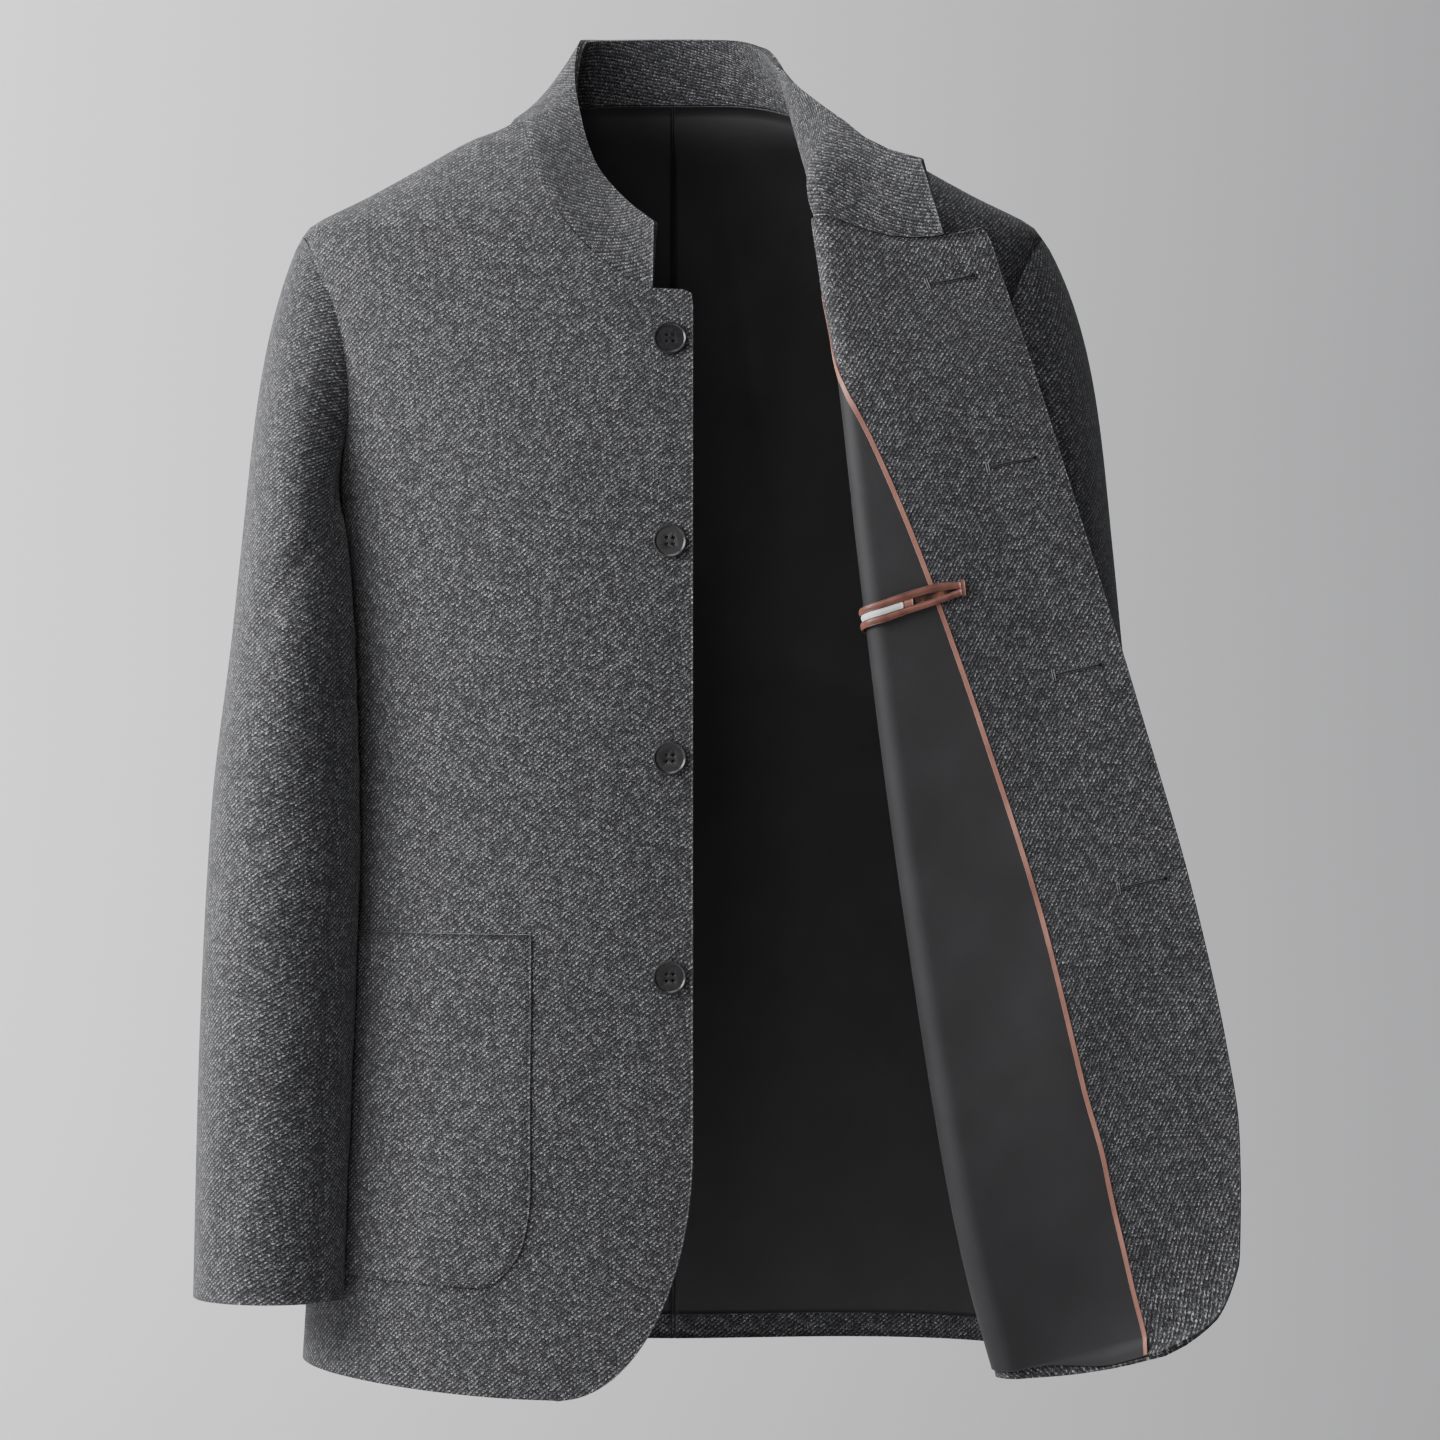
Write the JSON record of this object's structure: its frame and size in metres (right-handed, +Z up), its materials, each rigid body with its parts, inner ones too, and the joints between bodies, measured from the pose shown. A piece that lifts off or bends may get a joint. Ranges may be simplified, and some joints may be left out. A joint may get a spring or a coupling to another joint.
{
  "type": "stand-collar tailored jacket",
  "caption": "Charcoal wool jacket with a standing collar, patch pockets and dark buttons, hollow as worn, its left front turned back to show the facing and lining.",
  "frame": {"origin": "middle of the neck opening, level with the collar seam at the shoulders, where the neck holds the jacket", "axes": "+Z up along the wearer's neck, the fronts face -Y, +X is the wearer's left"},
  "size_m": [0.6161, 0.2504, 0.8073],
  "materials": {
    "wool": "matte charcoal melange wool twill with a light nap",
    "lining": "dark charcoal lining with a soft satin sheen",
    "piping": "copper brown satin",
    "button": "black polished horn-like plastic"
  },
  "bodies": {
    "root": {"front_right": "wool", "front_left": "wool", "back_left": "wool", "back_right": "wool", "lining_back_left": "lining", "lining_back_right": "lining", "facing_right": "wool", "lining_front_right": "lining", "piping_right": "piping", "facing_left": "wool", "lining_front_left": "lining", "piping_left": "piping", "collar": "wool", "collar_facing": "wool", "sleeve_top_left": "wool", "sleeve_under_left": "wool", "sleeve_top_right": "wool", "sleeve_under_right": "wool", "pocket_right": "wool", "pocket_left": "wool", "inner_pocket_welt": "piping", "button_1": "button", "button_2": "button", "button_3": "button", "button_4": "button"}
  },
  "joints": []
}
